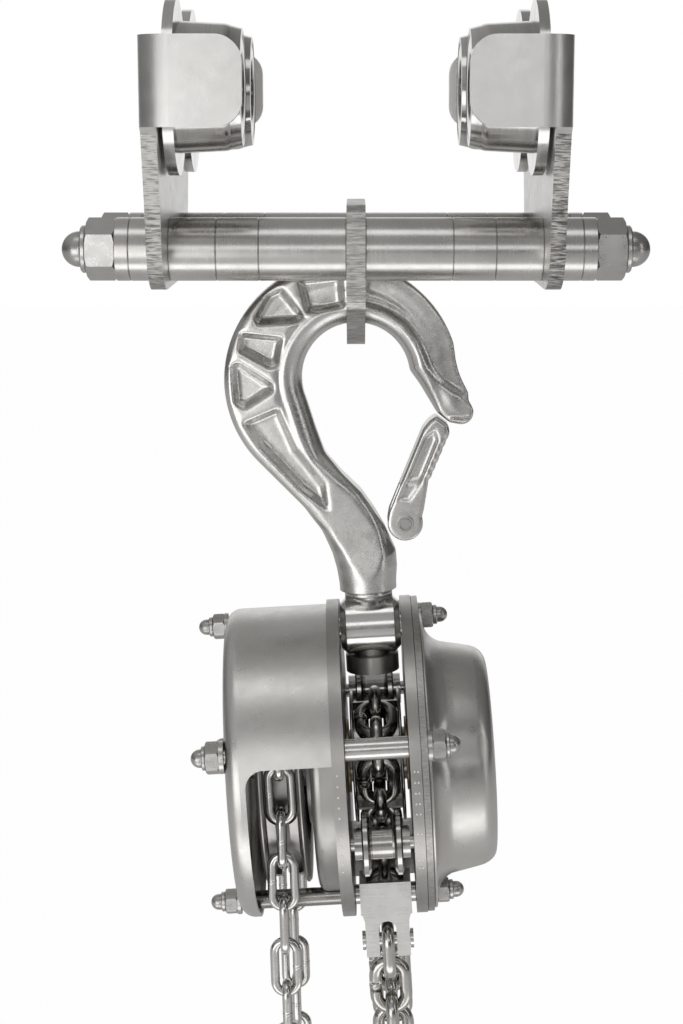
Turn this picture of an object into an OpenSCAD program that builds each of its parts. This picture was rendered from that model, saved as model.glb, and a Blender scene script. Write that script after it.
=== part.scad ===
// Hand chain hoist hung by its top hook from a push trolley.
// X runs across the beam, Y along the beam, Z is up, all in millimetres.
// The origin is the top face of the beam's lower flange, midway along the trolley.

/* [Trolley] */
// distance from the middle of the beam to the inner face of a side plate
plate_inner = 99; // [70:1:160]
// thickness of a side plate
plate_t = 8; // [5:0.5:14]
// distance of a wheel axle from the trolley's middle
axle_y = 50; // [46:1:70]
// radius of the wheel tread, which is also the axle height
tread_r = 33; // [26:0.5:40]
// radius of the wheel flange
flange_r = 45; // [38:0.5:54]
// distance of a tie rod from the trolley's middle
rod_y = 33.5; // [31:0.5:40]
// depth of the tie rods below the flange seat
rod_z = -51; // [-60:0.5:-40]
// diameter of the tie rods
rod_d = 20; // [14:1:24]
// diameter of the spacer sleeves on the tie rods
sleeve_d = 33.6; // [26:0.2:40]
// thickness of the suspension plate
hanger_t = 10; // [6:0.5:14]
// height of the end guards
guard_h = 44.3; // [30:0.1:50]

/* [Top hook] */
// depth of the middle of the hook's bowl
bowl_z = -123; // [-140:1:-115]
// inner radius of the bowl
bowl_r = 30; // [24:0.5:34]
// thickness of the hook
hook_t = 25; // [18:0.5:30]
// angle that the hoist hangs out of plumb
hang_lean = 3.3; // [0:0.1:6]

/* [Hoist frame] */
// depth of the hoist's axle below the flange seat
hoist_z = -342; // [-360:1:-335]
// distance between the two frame plates
plate_gap = 34.8; // [32:0.2:44]
// radius of the frame plates
frame_r = 90.5; // [86:0.5:100]
// distance of the stay bolts from the frame plates' edge
stay_edge = 12; // [10:0.5:13]
// height of the suspension cross pin above the axle
cross_up = 77; // [72:0.5:80]

/* [Covers] */
// distance of the hand wheel cover from the frame plates' edge
cover_step = 2.5; // [1:0.5:4]
// depth of the hand wheel cover's end face from the middle of the frame
wheel_cover_x = 82; // [80:0.5:96]
// width of the rim left round the window
window_rim = 11; // [8:0.5:16]
// height of the window's upper edge above the axle
window_z = 21; // [0:0.5:30]
// thickness of the cover sheets
sheet_t = 2; // [1:0.1:3]
// depth of the gear cover's end face from the middle of the frame
gear_cover_x = 64.5; // [64:0.5:80]
// drop of the gear cover's middle below the axle
gear_cover_drop = 4; // [0:0.5:6]

/* [Chains] */
// wire diameter of the load chain
load_wire = 7.1; // [6.5:0.1:7.2]
// pitch of the load chain
load_pitch = 21; // [20.5:0.1:22]
// outer width of a load chain link
load_w = 24.2; // [23:0.1:25]
// wire diameter of the hand chain
hand_wire = 5; // [4:0.1:5.2]
// pitch of the hand chain
hand_pitch = 25; // [24:0.1:25.5]
// outer width of a hand chain link
hand_w = 17.4; // [16:0.1:18]
// length of the hand chain's straight part, counted in pairs of links
hand_pairs = 4; // [2:1:30]
// play of a link on its neighbour
link_play = 0.15; // [0.05:0.05:0.5]

/* [Gears] */
// module of the gear teeth
gear_m = 1.25; // [1:0.05:1.3]
// teeth of each pinion
pinion_z = 10; // [10:1:12]
// teeth of each large gear
gear_z = 40; // [36:1:42]

/* [Bottom hook] */
// size of the bottom hook against the top hook
low_scale = 0.6; // [0.5:0.05:0.7]

/* [Fits] */
// radial clearance of running fits
run = 0.05; // [0.02:0.01:0.1]
// radial clearance of fixed fits
fix = 0.02; // [0.01:0.01:0.05]

/* [Hidden] */
$fn = 64;
steel = [0.66, 0.65, 0.63];
bright = [0.8, 0.8, 0.79];
dark = [0.42, 0.41, 0.4];
plate_x = plate_inner + plate_t;
rod_r = rod_d / 2;
sleeve_r = sleeve_d / 2;
axle_r = 10;
wheel_in = plate_inner - 40.5;
wheel_out = plate_inner - 2;
guard_z = 57 - guard_h;
gap2 = plate_gap / 2;
stay_r = frame_r - stay_edge;
wheel_cover_r = frame_r - cover_step;
left_x = -gap2 - 7;
right_x = gap2 + 6;
gear_plate_x0 = right_x + 0.3;
gear_plate_x1 = gear_plate_x0 + 3.5;
hook_c = [0, 0, bowl_z];
shank_r = 16;
stem_r = 10;
cross_r = 16;
cross_z = hoist_z + cross_up;
journal_r = 15;
bush_r = 17.9;
shaft_r = 7;
thread_r = 6;
load_a = load_pitch + load_wire;
load_b = load_pitch - load_wire;
// vertex circle of the chain on the load sheave: four flat and four standing links
load_R = sqrt(load_a * load_a + load_b * load_b + 2 * load_a * load_b * cos(45)) / (2 * sin(45));
load_ha = asin(load_a / 2 / load_R);
load_hb = asin(load_b / 2 / load_R);
load_rf = load_R * cos(load_ha);
load_rs = load_R * cos(load_hb);
load_phase = 18.4;
load_y = load_R * cos(load_phase - load_ha);
load_top = load_R * sin(load_phase - load_ha);
slack_phi = load_phase + 225 + load_hb;
slack_y = load_R * cos(slack_phi);
slack_top = load_R * sin(slack_phi);
hand_a = hand_pitch + hand_wire;
hand_b = hand_pitch - hand_wire;
hand_R = sqrt(hand_a * hand_a + hand_b * hand_b + 2 * hand_a * hand_b * cos(22.5)) / (2 * sin(22.5));
hand_ha = asin(hand_a / 2 / hand_R);
hand_hb = asin(hand_b / 2 / hand_R);
hand_rf = hand_R * cos(hand_ha);
hand_rs = hand_R * cos(hand_hb);
hand_x = -54;
hand_back = 1.8;
gear_c = gear_m * (pinion_z + gear_z) / 2;
anchor_y = -32.5;
anchor_link_z = -105.8;
pin_r = 4;
anchor_pin_z = anchor_link_z + (load_pitch + link_play) / 2 - pin_r - 0.1;
roller_r = 18;
roller_pos = [[-50, -35.5], [57, 23]];
low_link_z = load_top - load_b - load_a / 2 - 8 * load_pitch;
low_pin_z = low_link_z - (load_pitch + link_play) / 2 + pin_r + 0.1;
block_top = low_link_z + 3.7;
block_bottom = block_top - 64;
low_hook_z = block_bottom - 249 * low_scale - 0.3;
// floor of the block, on which the bottom hook's nut turns
low_floor = (291 - 9.8 - 249) * low_scale - 0.5;
pawl_p = [14.5, 58.2];
stays = [[73.5, 4, 5], [160.5, 5, 6], [250, 4, 5.6], [350, 5, 6]];

// points on an arc from angle a0 to angle a1
function arc(c, r, a0, a1, n = 24) = [for (i = [0:n]) let (a = a0 + (a1 - a0) * i / n) [c[0] + r * cos(a), c[1] + r * sin(a)]];

// the lower assembly leans about the middle of the hook's bowl
module hung() {
    translate(hook_c) rotate([0, -hang_lean, 0]) translate(-hook_c) children();
}

// hoist pieces are drawn about the axle
module hoist() {
    hung() translate([0, 0, hoist_z]) children();
}

// a flat shape drawn in Y and Z, extruded from x0 to x1
module slab(x0, x1) {
    translate([x0, 0, 0]) rotate([90, 0, 90]) linear_extrude(x1 - x0) children();
}

// a flat shape drawn in X and Z, extruded across Y
module across(t) {
    rotate([90, 0, 0]) linear_extrude(t, center = true) children();
}

// a round bar along X
module bar(r, x0, x1) {
    translate([x0, 0, 0]) rotate([0, 90, 0]) cylinder(h = x1 - x0, r = r);
}

// a ring along X with a small chamfer at its outer edges
module ring(ro, ri, x0, x1, c = 0.4) {
    rotate([0, 90, 0]) rotate_extrude() polygon([[ri, x0], [ro - c, x0], [ro, x0 + c], [ro, x1 - c], [ro - c, x1], [ri, x1]]);
}

// a solid disc along X with chamfered edges
module disc(ro, x0, x1, c = 0.4) {
    rotate([0, 90, 0]) rotate_extrude() polygon([[0, x0], [ro - c, x0], [ro, x0 + c], [ro, x1 - c], [ro - c, x1], [0, x1]]);
}

// a profile of radius and X turned about the X axis
module turned() {
    rotate([0, 90, 0]) rotate_extrude() children();
}

module hexagon(af) {
    polygon([for (i = [0:5]) [af / sqrt(3) * cos(60 * i + 30), af / sqrt(3) * sin(60 * i + 30)]]);
}

// places children round the four stay bolts
module at_stays(list = [0, 1, 2, 3]) {
    for (i = list) {
        translate([0, stay_r * cos(stays[i][0]), stay_r * sin(stays[i][0])]) {
            $thread = stays[i][1];
            $tube = stays[i][2];
            children();
        }
    }
}

// domed nut on a washer, standing on x = 0 and pointing to +X
module domed_nut(bore, washer_r, washer_h, af, hex_h, collar_r, collar_h, dome_r, dome_l, depth) {
    difference() {
        union() {
            ring(washer_r, bore + 0.1, 0, washer_h, 0.3);
            intersection() {
                slab(washer_h, washer_h + hex_h) hexagon(af);
                turned() polygon([[0, washer_h], [af / 2 + 0.4, washer_h], [af / sqrt(3) + 0.1, washer_h + 0.7],
                    [af / sqrt(3) + 0.1, washer_h + hex_h - 0.9], [af / 2, washer_h + hex_h], [0, washer_h + hex_h]]);
            }
            disc(collar_r, washer_h + hex_h, washer_h + hex_h + collar_h, 0.5);
            bar(dome_r, washer_h + hex_h + collar_h, washer_h + hex_h + collar_h + dome_l - dome_r);
            intersection() {
                translate([washer_h + hex_h + collar_h + dome_l - dome_r, 0, 0]) sphere(r = dome_r);
                bar(dome_r + 1, washer_h + hex_h + collar_h + dome_l - dome_r - 0.01, 60);
            }
        }
        bar(bore, -1, depth);
    }
}

// Trolley

module guard_end(s) {
    // bent plate end that reaches in front of the wheels
    difference() {
        union() {
            translate([plate_inner - 8, s * 104, guard_z]) {
                intersection() {
                    difference() {
                        cylinder(h = guard_h, r = 16);
                        translate([0, 0, -1]) cylinder(h = guard_h + 2, r = 8);
                    }
                    translate([0, s > 0 ? 0 : -20, 0]) cube([20, 20, guard_h]);
                }
            }
            intersection() {
                translate([55.6, s > 0 ? 112 : -120, guard_z]) cube([plate_inner - 8 - 55.6, 8, guard_h]);
                translate([0, s * 116, 0]) across(8) {
                    translate([55.6 + 13, guard_z]) square([60, guard_h]);
                    translate([55.6, guard_z + 13]) square([60, guard_h - 26]);
                    for (z = [guard_z + 13, guard_z + guard_h - 13]) translate([55.6 + 13, z]) circle(r = 13);
                }
            }
        }
    }
}

module side_plate() {
    difference() {
        union() {
            slab(plate_inner, plate_x) {
                polygon(concat([[-104, 57], [-104, guard_z], [-100, guard_z - 3], [-88, -25]],
                    arc([-53, -40], 31, 180, 270, 16), arc([53, -40], 31, 270, 360, 16),
                    [[88, -25], [100, guard_z - 3], [104, guard_z], [104, 57]]));
            }
            for (s = [-1, 1]) guard_end(s);
        }
        for (s = [-1, 1]) {
            translate([0, s * axle_y, tread_r]) bar(axle_r + fix, plate_inner - 1, plate_x + 1);
            translate([0, s * rod_y, rod_z]) bar(rod_r + fix, plate_inner - 1, plate_x + 1);
        }
    }
}

module side_plate_left() color(steel) mirror([1, 0, 0]) side_plate();
module side_plate_right() color(steel) side_plate();

module tie_rods() color(steel) {
    for (s = [-1, 1]) translate([0, s * rod_y, rod_z]) bar(rod_r, -plate_x - 38, plate_x + 38);
}

module tie_rod_nuts() color(bright) {
    for (s = [-1, 1]) {
        translate([0, s * rod_y, rod_z]) {
            for (m = [0, 1]) {
                mirror([m, 0, 0]) translate([plate_x + 20.55, 0, 0]) {
                    difference() {
                        union() {
                            intersection() {
                                slab(0, 15.5) hexagon(29);
                                turned() polygon([[0, 0], [14.9, 0], [17, 1.2], [17, 14.3], [14.9, 15.5], [0, 15.5]]);
                            }
                            disc(12.6, 15.5, 18.8, 0.8);
                            bar(9.5, 18.8, 19.8);
                            intersection() {
                                translate([19.8, 0, 0]) sphere(r = 9.5);
                                bar(11, 19.7, 40);
                            }
                        }
                        bar(rod_r + fix, -1, 17.5);
                    }
                }
            }
        }
    }
}

module spacer_sleeves() color(bright) {
    inner_steps = [hanger_t / 2 + 0.05, 51.4, 74, plate_inner];
    outer_steps = [plate_x, plate_x + 13, plate_x + 20.5];
    for (s = [-1, 1]) {
        translate([0, s * rod_y, rod_z]) {
            for (m = [0, 1]) {
                mirror([m, 0, 0]) {
                    for (i = [0:2]) ring(sleeve_r, rod_r + fix, inner_steps[i] + 0.03, inner_steps[i + 1] - 0.03);
                    for (i = [0:1]) ring(sleeve_r, rod_r + fix, outer_steps[i] + 0.03, outer_steps[i + 1] - 0.03);
                }
            }
        }
    }
}

module suspension_plate() color(steel) {
    difference() {
        slab(-hanger_t / 2, hanger_t / 2) {
            polygon(concat(arc([45, -39], 12, 0, 90, 12), arc([-45, -39], 12, 90, 180, 12),
                arc([-39, -71], 18, 180, 215, 8), arc([0, -71], 34, 235, 305, 20), arc([39, -71], 18, 325, 360, 8)));
        }
        for (s = [-1, 1]) translate([0, s * rod_y, rod_z]) bar(rod_r + fix, -20, 20);
        // the hook's hole, with its edge rounded to the bowl
        translate([0, 0, bowl_z + bowl_r + 22 - 0.3]) {
            turned() difference() {
                translate([0, -hanger_t / 2 - 1]) square([24.4, hanger_t + 2]);
                translate([22 + hanger_t / 2 + 1.2, 0]) circle(r = hanger_t / 2 + 1.2);
            }
        }
    }
}

module wheel_axles() color(dark) {
    for (m = [0, 1]) mirror([m, 0, 0]) for (s = [-1, 1]) {
        translate([0, s * axle_y, tread_r]) {
            bar(axle_r, wheel_in + 2, plate_x);
            ring(14, axle_r - 1, wheel_out + 0.4, plate_inner - 0.03);
            turned() intersection() {
                translate([0, plate_x - 36]) circle(r = 39);
                translate([0, plate_x + 0.03]) square([14, 5]);
            }
            bar(axle_r, plate_x - 0.5, plate_x + 0.5);
            ring(13, axle_r - 1, wheel_in + 3.2, wheel_in + 5);
        }
    }
}

module trolley_wheel() {
    // slightly conical tread, flange against the beam's edge, sealed bearing bore
    turned() difference() {
        union() {
            polygon([[axle_r + run, wheel_in + 8], [30, wheel_in], [tread_r - 0.6, wheel_in + 10], [tread_r + 0.6, wheel_in + 33],
                [flange_r, wheel_in + 33], [flange_r, wheel_out], [axle_r + run, wheel_out]]);
            translate([tread_r - 10.6, wheel_in + 10]) circle(r = 10);
        }
        translate([0, wheel_in - 1]) square([18, 7]);
        translate([0, wheel_in - 1]) square([axle_r + run, 60]);
    }
}

module wheel_at(mx, s) color(bright) mirror([mx, 0, 0]) translate([0, s * axle_y, tread_r]) trolley_wheel();
module wheel_front_left() wheel_at(1, -1);
module wheel_front_right() wheel_at(0, -1);
module wheel_rear_left() wheel_at(1, 1);
module wheel_rear_right() wheel_at(0, 1);

// Hooks

function hook_outline() = concat(
    [[-14.6, -240], [-17, -231], [-19, -222], [-24, -208], [-33, -194]],
    arc([-8, -124], 65, 222, 13, 48),
    [[53, -114], [56, -124], [61, -134]],
    arc([57.2, -145.6], 6.8, 50, -100, 14),
    [[50.4, -151], [43.7, -145.4], [35, -129]],
    arc([0, bowl_z], bowl_r - 2, 4, 200, 30),
    [[-24.2, -149], [-19.7, -164], [-10.9, -176], [-0.9, -187], [5.3, -197], [10.9, -207.5], [14.4, -216], [17.6, -220],
        [17, -231], [14.6, -240]]);

// one recess of the forging in both faces, from its corner points
module pocket(pts) {
    for (m = [-1, 1]) translate([0, m * hook_t / 2, 0]) across(7) polygon(pts);
}

module hook_forging() {
    difference() {
        union() {
            // flat flanks, with the bowl's inner edge rounded
            intersection() {
                across(hook_t * 2) polygon(hook_outline());
                translate([0, 0, bowl_z]) rotate([90, 0, 0]) rotate_extrude() {
                    translate([bowl_r + hook_t / 2, 0]) circle(r = hook_t / 2);
                    translate([bowl_r + hook_t / 2, -hook_t / 2]) square([120, hook_t]);
                }
            }
            translate([0, 0, -244]) cylinder(h = 26, r = shank_r);
            translate([0, 0, -249]) cylinder(h = 5.5, r = shank_r - 2);
            translate([0, 0, -291]) cylinder(h = 43, r = stem_r);
            across(5) {
                translate([22.8, -206.2]) circle(r = 7);
                polygon([[5, -203], [18, -200.5], [29, -209], [17, -222], [8, -222]]);
            }
        }
        pocket([[-29, -69], [-4, -69], [-4, -80], [-28, -80]]);
        pocket([[-40, -74], [-27, -87], [-52.6, -88.6]]);
        pocket([[-62, -96], [-40, -101], [-45, -113], [-62.6, -103]]);
        pocket([[-67, -113], [-64, -113], [-47, -125], [-63, -135], [-68, -131]]);
        pocket([[-46, -140], [-63, -144], [-34, -183], [-21, -194], [-24, -181], [-42, -152]]);
        pocket([[14, -69], [30, -78], [43, -92], [48, -110], [46, -122], [40, -105], [30, -91], [14, -80]]);
        translate([22.8, 0, -206.2]) rotate([90, 0, 0]) cylinder(h = 12, r = 3 + run, center = true);
        // room for the latch's cheeks and springs
        for (m = [-1, 1]) translate([22.8, m * 7.75, -206.2]) rotate([90, 0, 0]) cylinder(h = 10.5, r = 11, center = true);
    }
}

module hook_nut_body() {
    difference() {
        translate([0, 0, -291]) cylinder(h = 9.8, r = 15);
        translate([0, 0, -292]) cylinder(h = 12, r = stem_r + fix);
    }
}

module latch_pin_body() {
    translate([22.8, 0, -206.2]) rotate([90, 0, 0]) {
        cylinder(h = 20, r = 3, center = true);
        for (s = [-1, 1]) translate([0, 0, s * 10.4]) cylinder(h = 1.6, r = 4.4, center = true);
    }
}

// two coils either side of the hook's lug, with legs to the latch and to the neck
module latch_spring_body() {
    for (s = [-1, 1]) {
        translate([22.8, s * 4.7, -206.2]) {
            for (k = [-0.5, 0.5]) translate([0, k * 1.56, 0]) rotate([90, 0, 0]) rotate_extrude() translate([5, 0]) circle(r = 0.8, $fn = 20);
            rotate([0, 22, 0]) translate([5, 0, 0]) cylinder(h = 16, r = 0.8, $fn = 20);
        }
    }
}

module latch_body() {
    difference() {
        union() {
            across(19) polygon([[21, -184.5], [35.4, -153.6], [39, -149.4], [43, -146.9], [49.6, -152.3], [50.2, -156], [44, -171],
                [36.4, -184.5]]);
            // two cheeks beside the hook's lug and the springs
            for (m = [-1, 1]) translate([0, m * 8.25, 0]) across(2.5) {
                polygon([[15, -199], [23.7, -179], [40.5, -178], [36.4, -184.5], [32, -200], [24, -206]]);
                translate([22.8, -206.2]) circle(r = 10);
            }
        }
        translate([22.8, 0, -206.2]) rotate([90, 0, 0]) cylinder(h = 30, r = 3 + run, center = true);
        // finger grip
        for (i = [0:3]) translate([49.3 - i * 2.75, 0, -160 - i * 5.6]) rotate([90, 0, 0]) cylinder(h = 30, r = 1.5, center = true);
    }
}

module top_hook() color(steel) hung() hook_forging();
module hook_nut() color(dark) hung() hook_nut_body();
module top_latch_pin() color(bright) hung() latch_pin_body();
module top_latch_spring() color(dark) hung() latch_spring_body();
module top_latch() color(steel) hung() latch_body();

module low() {
    hoist() translate([0, load_y, low_hook_z]) rotate([0, 180, 0]) scale(low_scale) children();
}
module bottom_hook() color(steel) low() hook_forging();
module bottom_hook_nut() color(dark) low() hook_nut_body();
module bottom_latch_pin() color(bright) low() latch_pin_body();
module bottom_latch_spring() color(dark) low() latch_spring_body();
module bottom_latch() color(steel) low() latch_body();

module crosshead() color(bright) hung() translate([0, 0, cross_z]) {
    difference() {
        union() {
            disc(cross_r, -gap2 + 0.5, gap2 - 0.5, 3.4);
            bar(8, left_x + 0.5, right_x);
        }
        translate([0, 0, -40]) cylinder(h = 80, r = stem_r + run);
        translate([-20, -20, cross_r - 0.2]) cube([40, 40, 5]);
        translate([-20, -20, -cross_r - 4.8]) cube([40, 40, 5]);
    }
}

// Hoist frame

module frame_disc(x0, x1, r, bush) {
    difference() {
        bar(r, x0, x1);
        bar(bush, x0 - 1, x1 + 1);
        at_stays() bar($thread + fix, x0 - 1, x1 + 1);
    }
}

module pin_holes(x0, x1) {
    for (p = roller_pos) translate([0, p[0], p[1]]) bar(pin_r + fix, x0, x1);
}

module frame_plate_left() color(steel) hoist() {
    difference() {
        frame_disc(left_x, -gap2, frame_r, bush_r + fix);
        translate([0, 0, cross_up]) bar(8 + run, left_x - 1, 0);
        pin_holes(left_x - 1, 0);
        translate([0, pawl_p[0], pawl_p[1]]) bar(pin_r + fix, left_x - 1, left_x + 5);
    }
}

module frame_plate_right() color(steel) hoist() {
    difference() {
        frame_disc(gap2, right_x, frame_r, bush_r + fix);
        translate([0, 0, cross_up]) bar(8 + run, 0, right_x + 1);
        pin_holes(0, right_x + 1);
    }
}

module gear_plate() color(steel) hoist() {
    difference() {
        frame_disc(gear_plate_x0, gear_plate_x1, frame_r - 0.6, bush_r + fix);
        for (s = [-1, 1]) translate([0, s * gear_c, 0]) bar(4.4 + run, 0, 40);
    }
}

module stay_studs() color(bright) hoist() {
    at_stays() bar($thread, -wheel_cover_x - 10, gear_plate_x1 + 10);
}

module gap_tubes() color(bright) hoist() {
    at_stays() ring($tube, $thread + fix, -gap2 + 0.03, gap2 - 0.03);
}

module cover_tubes() color(dark) hoist() {
    at_stays() ring($thread + 1.2, $thread + fix, -wheel_cover_x + sheet_t + 0.03, left_x - 0.03, 0.2);
}

module stay_nut(t) {
    if (t > 4.5) {
        domed_nut(t + fix, 8.9, 3, 16, 7, 6.6, 2.2, 5, 6, 12);
    } else {
        domed_nut(t + fix, 7.6, 2.4, 13, 6.5, 5.6, 2.5, 4.5, 6, 12);
    }
}

module lock_nuts_left() color(bright) hoist() {
    at_stays() translate([-wheel_cover_x - 0.03, 0, 0]) mirror([1, 0, 0]) stay_nut($thread);
}

module lock_nuts_right() color(bright) hoist() {
    at_stays() translate([gear_plate_x1 + 0.03, 0, 0]) stay_nut($thread);
}

module sheave_bushes() color([0.72, 0.58, 0.35]) hoist() {
    ring(bush_r, journal_r + run, left_x, -gap2 + 0.2, 0.2);
    ring(21, journal_r + run, -gap2 + 0.05, -gap2 + 1.4, 0.2);
    ring(bush_r, journal_r + run, gap2 - 0.2, gear_plate_x1, 0.2);
    ring(21, journal_r + run, gap2 - 1.4, gap2 - 0.05, 0.2);
}

// Covers

module handwheel_cover() color(steel) hoist() {
    difference() {
        turned() difference() {
            union() {
                translate([0, -wheel_cover_x]) square([wheel_cover_r - 8, wheel_cover_x + left_x - 0.03]);
                translate([0, -wheel_cover_x + 8]) square([wheel_cover_r, wheel_cover_x - 8 + left_x - 0.03]);
                translate([wheel_cover_r - 8, -wheel_cover_x + 8]) circle(r = 8);
            }
            difference() {
                translate([-1, -wheel_cover_x + sheet_t]) square([wheel_cover_r + 1 - sheet_t, 100]);
                translate([wheel_cover_r - 8, -wheel_cover_x]) square([20, 8]);
            }
            translate([wheel_cover_r - 8, -wheel_cover_x + 8]) circle(r = 8 - sheet_t);
        }
        across(300) {
            translate([-wheel_cover_x + window_rim + 9.5, -120]) square([100, 120 + window_z]);
            translate([-wheel_cover_x + window_rim, -120]) square([100, 120 + window_z - 9.5]);
            translate([-wheel_cover_x + window_rim + 9.5, window_z - 9.5]) circle(r = 9.5);
        }
        at_stays() bar($thread + fix, -wheel_cover_x - 5, -wheel_cover_x + 5);
        // seats that let the tubes past the rounded corner
        at_stays() bar($thread + 1.25, -wheel_cover_x + sheet_t + 0.01, -wheel_cover_x + 14);
    }
}

module brake_pan() color(bright) hoist() {
    difference() {
        turned() difference() {
            union() {
                translate([46, -37]) square([25, 10]);
                translate([46, -32]) square([30, 32 + left_x - 0.03]);
                translate([71, -32]) circle(r = 5);
            }
            translate([40, -35]) square([31, 40]);
            translate([40, -32]) square([34, 40]);
            translate([71, -32]) circle(r = 3);
        }
        at_stays() bar($thread + 1.9, -50, 0);
    }
}

// concave flare, almost straight side, rounded shoulder and flat end, t inside the outer face
module cover_profile(t) {
    r0 = 82;
    x0 = gear_plate_x1 + 0.03;
    polygon(concat(t > 0 ? [[0, 20], [r0 - 3, 20]] : [[0, x0], [r0 + 2, x0], [r0 + 2, x0 + 2]],
        arc([r0, x0 + 18], 16 + t, t > 0 ? 260 : 270, 198, 14),
        arc([r0 - 29.2, gear_cover_x - 11], 11 - t, 12, 90, 12), [[0, gear_cover_x - t]]));
}

module gear_cover() color(steel) hoist() {
    difference() {
        union() {
            translate([0, 0, -gear_cover_drop]) difference() {
                turned() cover_profile(0);
                turned() cover_profile(sheet_t);
            }
            // walls of the recesses for the nuts
            intersection() {
                translate([0, 0, -gear_cover_drop]) turned() cover_profile(0);
                at_stays() bar(11.6, gear_plate_x1 + 0.03, 60);
            }
            // bearing bosses of the gear shafts
            for (y = [-gear_c, 0, gear_c]) translate([0, y, 0]) bar(8, 53, gear_cover_x - 1);
        }
        at_stays() bar(9.7, 20, 80);
        for (y = [-gear_c, 0, gear_c]) translate([0, y, 0]) bar(4.4 + run, 40, 60);
    }
}

module chain_stripper() color(dark) hoist() {
    translate([-gap2 + 0.02, 7.5, -76]) cube([plate_gap - 0.04, 6.2, 32]);
    translate([-3.3, 7.5, -46]) cube([6.6, 6.2, 22]);
}

module anchor_bracket() color(steel) hoist() {
    by = stay_r * cos(stays[2][0]);
    bz = stay_r * sin(stays[2][0]);
    difference() {
        union() {
            // front sheet with its waist and two legs
            translate([0, -35.1, 0]) across(3.8) {
                difference() {
                    polygon([[-14.5, -64], [14.5, -64], [14.5, -80], [12.5, -87], [12.5, -108], [-12.5, -108], [-12.5, -87], [-14.5, -80]]);
                    translate([-5, -130]) square([10, 130 - 92]);
                    translate([0, -92]) circle(r = 5);
                }
            }
            for (s = [-1, 1]) {
                translate([s * 12.6 - 1.9, -37, -83]) cube([3.8, 21.5, 19]);
                translate([s * 10.6 - 1.9, -37, -108]) cube([3.8, 11.5, 21]);
            }
        }
        translate([0, by, bz]) bar(stays[2][2] + 0.1, -20, 20);
        translate([0, anchor_y, anchor_pin_z]) bar(pin_r + fix, -20, 20);
    }
}

module anchor_pin() color(bright) hoist() {
    translate([0, anchor_y, anchor_pin_z]) {
        bar(pin_r, -14.5, 14.5);
        for (s = [-1, 1]) translate([s * 13.6, 0, 0]) bar(5.5, -0.9, 0.9);
    }
}

module guide_pins() color(bright) hoist() {
    for (p = roller_pos) translate([0, p[0], p[1]]) bar(pin_r, left_x, right_x);
}

module guide_roller() {
    turned() polygon([[pin_r + run, -15.4], [9, -15.4], [9, -11.2], [roller_r - 1, -11.2], [roller_r, -10.4], [roller_r, -8],
        [roller_r - 2, -6.6], [9, -5.5], [9, 5.5], [roller_r - 2, 6.6], [roller_r, 8], [roller_r, 10.4], [roller_r - 1, 11.2],
        [9, 11.2], [9, 15.4], [pin_r + run, 15.4]]);
}
module guide_roller_front() color(dark) hoist() translate([0, roller_pos[0][0], roller_pos[0][1]]) guide_roller();
module guide_roller_rear() color(dark) hoist() translate([0, roller_pos[1][0], roller_pos[1][1]]) guide_roller();

// Chains

// one link along Z, lying in the X-Z plane
module link(pitch, wire, width) {
    w = (width - wire) / 2;
    s = pitch + link_play + wire - 2 * w;
    for (m = [0, 1]) {
        mirror([0, 0, m]) translate([0, 0, s / 2]) rotate([90, 0, 0]) rotate_extrude(angle = 180) translate([w, 0]) circle(d = wire, $fn = 32);
        mirror([m, 0, 0]) translate([w, 0, -s / 2]) cylinder(h = s, d = wire, $fn = 32);
    }
}

module load_link(p, dir, standing) {
    translate([0, p[0], p[1]]) rotate([dir, 0, 0]) rotate([0, 0, standing ? 90 : 0]) link(load_pitch, load_wire, load_w);
}

module hand_link(p, dir, standing) {
    translate([0, p[0], p[1]]) rotate([dir, 0, 0]) rotate([0, 0, standing ? 90 : 0]) link(hand_pitch, hand_wire, hand_w);
}

module load_chain() color(dark) hoist() {
    // links seated on the sheave
    for (i = [0:2]) {
        load_link([load_rf * cos(load_phase + 90 * i), load_rf * sin(load_phase + 90 * i)], load_phase + 90 * i, false);
        load_link([load_rs * cos(load_phase + 45 + 90 * i), load_rs * sin(load_phase + 45 + 90 * i)], load_phase + 45 + 90 * i, true);
    }
    // strand to the bottom hook
    for (i = [0:4]) load_link([load_y, load_top - load_b / 2 - 2 * i * load_pitch], 0, true);
    for (i = [0:4]) load_link([load_y, load_top - load_b - load_a / 2 - 2 * i * load_pitch], 0, false);
    // slack strand, from the sheave to the loop
    for (i = [0:4]) load_link([slack_y, slack_top - load_a / 2 - 2 * i * load_pitch], 0, false);
    for (i = [0:3]) load_link([slack_y, slack_top - load_a - load_b / 2 - 2 * i * load_pitch], 0, true);
    // anchored strand
    for (i = [0:2]) load_link([anchor_y, anchor_link_z - 2 * i * load_pitch], 0, true);
    for (i = [0:2]) load_link([anchor_y, anchor_link_z - load_pitch - 2 * i * load_pitch], 0, false);
    // bottom of the slack loop
    ps = [slack_y, slack_top - load_a - 8 * load_pitch];
    pa = [anchor_y, anchor_link_z - load_b / 2 - 4 * load_pitch - load_a];
    along = (pa - ps) / norm(pa - ps);
    down = [along[1], -along[0]] * (along[0] < 0 ? -1 : 1);
    over = (norm(pa - ps) - load_a) / 2;
    deep = sqrt(load_b * load_b - over * over);
    qs = ps + along * over + down * deep;
    qa = pa - along * over + down * deep;
    load_link((ps + qs) / 2, atan2(ps[0] - qs[0], qs[1] - ps[1]) + 180, true);
    load_link((qs + qa) / 2, atan2(-(qs - qa)[0], (qs - qa)[1]), false);
    load_link((pa + qa) / 2, atan2(pa[0] - qa[0], qa[1] - pa[1]) + 180, true);
}

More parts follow.
